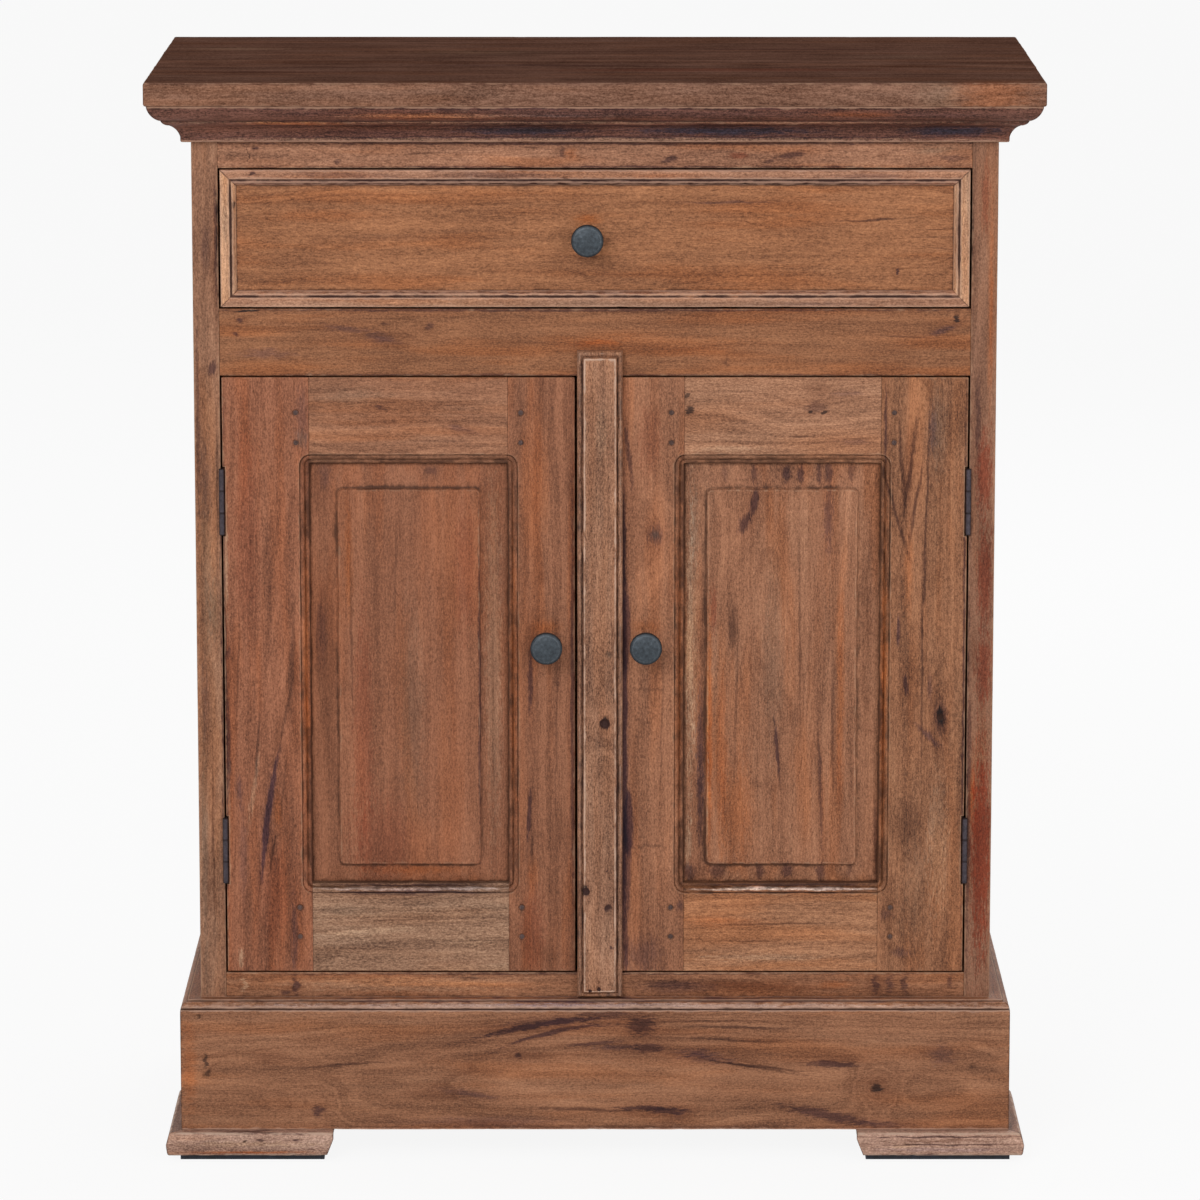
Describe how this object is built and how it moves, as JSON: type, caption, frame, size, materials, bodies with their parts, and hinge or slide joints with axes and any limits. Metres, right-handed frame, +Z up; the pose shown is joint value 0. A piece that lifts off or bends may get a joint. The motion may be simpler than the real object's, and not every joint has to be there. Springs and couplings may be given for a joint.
{
  "type": "storage cabinet",
  "caption": "Free-standing wooden storage cupboard: a wide drawer over panelled doors, with a moulded cornice, cover strip, plinth and low feet.",
  "frame": {"origin": "on the floor, under the centre of the top board, which is the centre of the overall footprint", "axes": "+X to the right seen from the front, +Y to the back, so the doors and drawer face -Y, +Z up"},
  "size_m": [0.82, 0.43, 1.015],
  "materials": {
    "top_wood": "dark matt wax",
    "frame_wood": "worn wax on reclaimed wood",
    "door_wood": "worn wax on reclaimed wood",
    "panel_wood": "worn wax on reclaimed wood",
    "moulding_wood": "rubbed wax, grime in the quirks",
    "inside_wood": "plain, dry",
    "black_iron": "blackened",
    "hinge_steel": "dulled",
    "black_pad": "matt"
  },
  "bodies": {
    "carcass": {"back_boards": "inside_wood", "corner_blocks": "inside_wood", "cornice_front": "moulding_wood", "cornice_left": "moulding_wood", "cornice_right": "moulding_wood", "cupboard_floor": "inside_wood", "door_stops": "inside_wood", "drawer_kickers": "inside_wood", "drawer_runners": "inside_wood", "drawer_stops": "inside_wood", "floor_battens": "inside_wood", "foot_left_front": "frame_wood", "foot_left_rear": "frame_wood", "foot_pads": "black_pad", "foot_right_front": "frame_wood", "foot_right_rear": "frame_wood", "front_bottom_rail": "frame_wood", "front_middle_rail": "frame_wood", "front_top_rail": "frame_wood", "hinge_frame_leaves": "hinge_steel", "hinge_pins": "hinge_steel", "left_front_stile": "frame_wood", "left_rear_stile": "frame_wood", "left_side_panel": "panel_wood", "left_side_rails": "frame_wood", "plinth_front": "frame_wood", "plinth_left": "frame_wood", "plinth_right": "frame_wood", "rear_rails": "inside_wood", "right_front_stile": "frame_wood", "right_rear_stile": "frame_wood", "right_side_panel": "panel_wood", "right_side_rails": "frame_wood", "shelf": "inside_wood", "shelf_pins": "hinge_steel", "top_boards": "top_wood"},
    "drawer": {"drawer_front": "panel_wood", "drawer_mouldings": "moulding_wood", "drawer_right_side": "inside_wood", "drawer_left_side": "inside_wood", "drawer_back": "inside_wood", "drawer_bottom": "inside_wood", "drawer_knob": "black_iron"},
    "left_door": {"left_door_bottom_rail": "door_wood", "left_door_hinge_leaves": "hinge_steel", "left_door_hinge_stile": "door_wood", "left_door_knob": "black_iron", "left_door_lock_stile": "door_wood", "left_door_panel": "panel_wood", "left_door_pegs": "door_wood", "left_door_top_rail": "door_wood"},
    "right_door": {"right_door_bottom_rail": "door_wood", "right_door_hinge_leaves": "hinge_steel", "right_door_hinge_stile": "door_wood", "right_door_knob": "black_iron", "right_door_lock_stile": "door_wood", "right_door_panel": "panel_wood", "right_door_pegs": "door_wood", "right_door_top_rail": "door_wood", "cover_strip": "moulding_wood"}
  },
  "joints": [
    {"name": "drawer_slide", "type": "slide", "parent": "carcass", "child": "drawer", "axis": [0, -1, 0], "range_m": [0, 0.25]},
    {"name": "left_door_hinge", "type": "hinge", "parent": "carcass", "child": "left_door", "pos_m": [-0.3447, -0.1765, 0.4], "axis": [0, 0, -1], "range_deg": [0, 170]},
    {"name": "right_door_hinge", "type": "hinge", "parent": "carcass", "child": "right_door", "pos_m": [0.3447, -0.1765, 0.4], "axis": [0, 0, 1], "range_deg": [0, 170]}
  ]
}
